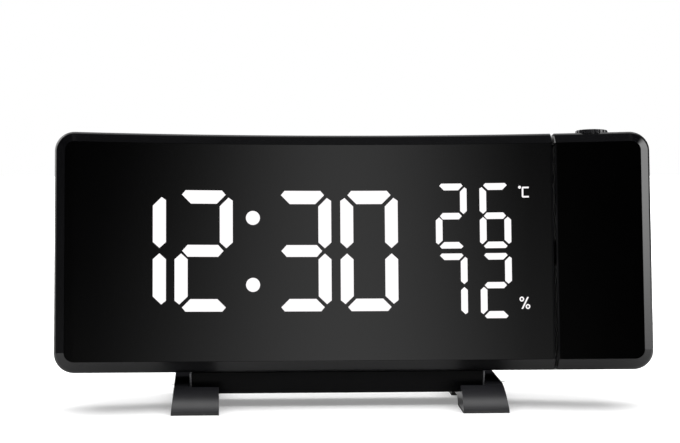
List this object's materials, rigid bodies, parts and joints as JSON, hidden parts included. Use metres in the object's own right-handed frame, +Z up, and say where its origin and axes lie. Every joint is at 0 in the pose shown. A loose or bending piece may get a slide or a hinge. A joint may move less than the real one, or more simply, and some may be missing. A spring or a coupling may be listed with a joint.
{
  "type": "projection alarm clock",
  "caption": "Desk alarm clock with a wide concave display leaning back on a low two-footed stand, a swivelling projector head at one end, back keys and a top snooze bar.",
  "frame": {"origin": "middle of the base of the whole outline, on the table plane", "axes": "+Z up, the screen faces -Y, +X to the right as the screen is read, along the case"},
  "size_m": [0.2, 0.0482, 0.0943],
  "materials": {
    "case_plastic": "satin moulded black plastic",
    "screen_acrylic": "polished smoked black acrylic",
    "light_box": "matt black moulding",
    "diffuser": "milky white light segments",
    "led": "small white lights",
    "circuit_board": "green solder mask",
    "chip_black": "black component moulding",
    "key_plastic": "satin black keys",
    "door_plastic": "satin black door",
    "holder_plastic": "dark grey moulding",
    "spring_steel": "plated spring steel",
    "cell_steel": "plated steel can",
    "speaker_cone": "black paper cone",
    "magnet": "dark ferrite magnet",
    "jack_plastic": "black socket moulding",
    "screw_steel": "dark plated screws",
    "spindle_plastic": "dark acetal spindle",
    "stand_plastic": "satin moulded black plastic",
    "pad_rubber": "black rubber pads",
    "lens_clear": "clear moulded optics",
    "ring_plastic": "glossy black ring"
  },
  "bodies": {
    "clock_body": {"front_frame": "case_plastic", "screen_lens": "screen_acrylic", "display_housing": "light_box", "segment_diffusers": "diffuser", "display_leds": "led", "display_board": "circuit_board", "main_board": "circuit_board", "board_chips": "chip_black", "key_switches": "chip_black", "snooze_switch": "chip_black", "rear_shell": "case_plastic", "battery_holder": "holder_plastic", "battery_contact": "spring_steel", "coin_cell": "cell_steel", "speaker_basket": "chip_black", "speaker_cone": "speaker_cone", "speaker_magnet": "magnet", "climate_sensor": "circuit_board", "port_board": "circuit_board", "usb_port": "cell_steel", "dc_jack": "jack_plastic", "case_screws": "screw_steel", "stand_screws": "screw_steel", "pivot_bush": "holder_plastic", "stand_bar": "stand_plastic", "left_foot": "stand_plastic", "right_foot": "stand_plastic", "foot_pads": "pad_rubber", "foot_screws": "screw_steel"},
    "projector_head": {"head_front_shell": "case_plastic", "head_panel": "screen_acrylic", "head_rear_shell": "case_plastic", "head_screws": "screw_steel", "pivot_spindle": "spindle_plastic", "friction_washer": "spring_steel", "spindle_clip": "spring_steel", "light_tube": "holder_plastic", "projector_board": "circuit_board", "projector_led": "led", "condenser_lens": "lens_clear", "lcd_slide": "lens_clear"},
    "focus_wheel": {"focus_ring": "ring_plastic"},
    "lens_carriage": {"lens_barrel": "ring_plastic", "focus_lens": "lens_clear"},
    "snooze_button": {"snooze_key": "key_plastic"},
    "cell_door": {"battery_door": "door_plastic"},
    "set_button": {"set_key": "key_plastic"},
    "alarm_button": {"alarm_key": "key_plastic"},
    "up_button": {"up_key": "key_plastic"},
    "down_button": {"down_key": "key_plastic"},
    "projector_button": {"projector_key": "key_plastic"}
  },
  "joints": [
    {"name": "head_swivel", "type": "hinge", "parent": "clock_body", "child": "projector_head", "pos_m": [0.068, 0.00015, 0.05155], "axis": [1, 0, 0], "range_deg": [-90, 90]},
    {"name": "focus_turn", "type": "hinge", "parent": "projector_head", "child": "focus_wheel", "pos_m": [0.0822, 0.00019, 0.0922], "axis": [0, 0.1564, 0.9877], "range_deg": [-60, 60]},
    {"name": "lens_travel", "type": "slide", "parent": "projector_head", "child": "lens_carriage", "axis": [0, 0.1564, 0.9877], "range_m": [-0.001, 0.001]},
    {"name": "snooze_press", "type": "slide", "parent": "clock_body", "child": "snooze_button", "axis": [0, -0.1564, -0.9877], "range_m": [0, 0.0006], "stiffness_N_per_m": 900, "springref_m": -0.0006},
    {"name": "door_turn", "type": "hinge", "parent": "clock_body", "child": "cell_door", "pos_m": [0, 0.01569, 0.03072], "axis": [0, 0.9877, -0.1564], "range_deg": [0, 40]},
    {"name": "set_press", "type": "slide", "parent": "clock_body", "child": "set_button", "axis": [0, -0.9877, 0.1564], "range_m": [0, 0.0006], "stiffness_N_per_m": 900, "springref_m": -0.0006},
    {"name": "alarm_press", "type": "slide", "parent": "clock_body", "child": "alarm_button", "axis": [0, -0.9877, 0.1564], "range_m": [0, 0.0006], "stiffness_N_per_m": 900, "springref_m": -0.0006},
    {"name": "up_press", "type": "slide", "parent": "clock_body", "child": "up_button", "axis": [0, -0.9877, 0.1564], "range_m": [0, 0.0006], "stiffness_N_per_m": 900, "springref_m": -0.0006},
    {"name": "down_press", "type": "slide", "parent": "clock_body", "child": "down_button", "axis": [0, -0.9877, 0.1564], "range_m": [0, 0.0006], "stiffness_N_per_m": 900, "springref_m": -0.0006},
    {"name": "projector_press", "type": "slide", "parent": "clock_body", "child": "projector_button", "axis": [0, -0.9877, 0.1564], "range_m": [0, 0.0006], "stiffness_N_per_m": 900, "springref_m": -0.0006}
  ],
  "couplings": [
    {"joint": "focus_turn", "follows": "lens_travel", "rad_per_m": 1045}
  ]
}
